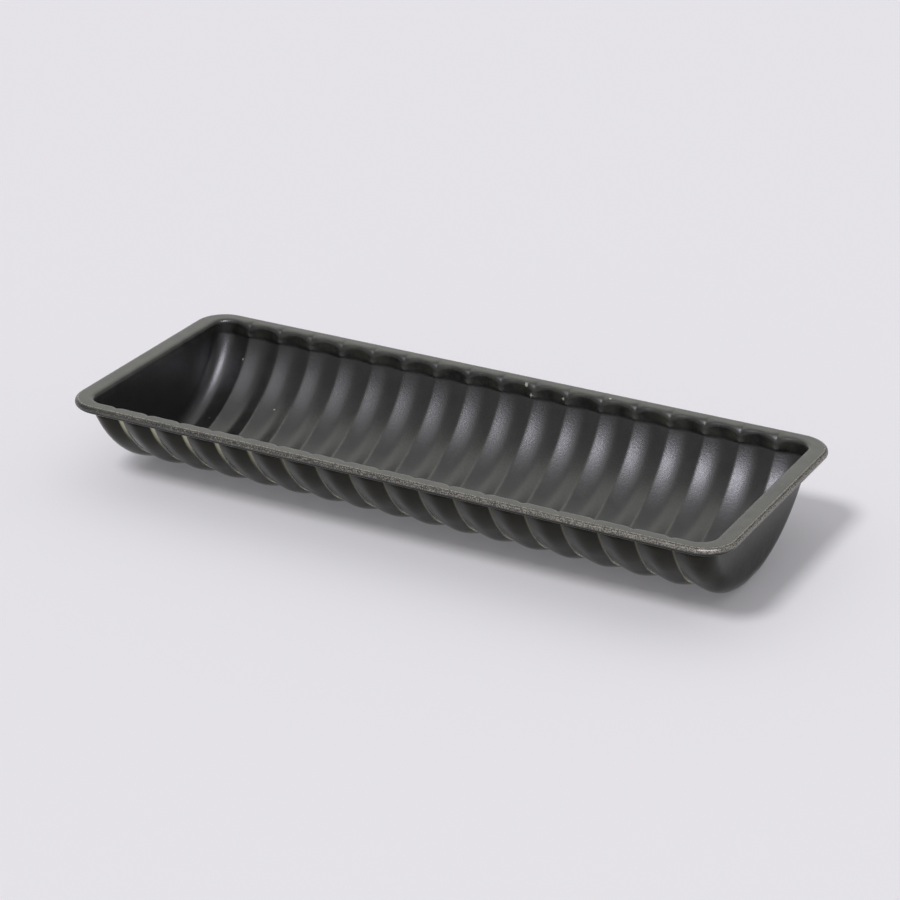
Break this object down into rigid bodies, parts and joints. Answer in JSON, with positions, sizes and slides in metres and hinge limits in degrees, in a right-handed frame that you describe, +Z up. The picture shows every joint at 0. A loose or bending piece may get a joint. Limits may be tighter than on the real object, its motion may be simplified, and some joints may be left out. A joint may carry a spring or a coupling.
{
  "type": "yule log mould",
  "caption": "Half-round fluted baking mould with closed end walls, a flat rim and an edge rolled over a wire, for log-shaped cakes.",
  "frame": {"origin": "on the surface that the mould stands on, below the middle of its rim", "axes": "+X along the mould, +Y across it, +Z up out of its mouth"},
  "size_m": [0.3, 0.1174, 0.0405],
  "materials": {
    "coated_sheet": "satin charcoal non-stick coat inside and on the rim, glossier black outside",
    "wire": "plain drawn steel, hidden in the rolled edge"
  },
  "bodies": {
    "root": {"mould_shell": "coated_sheet", "rim_wire": "wire"}
  },
  "joints": []
}
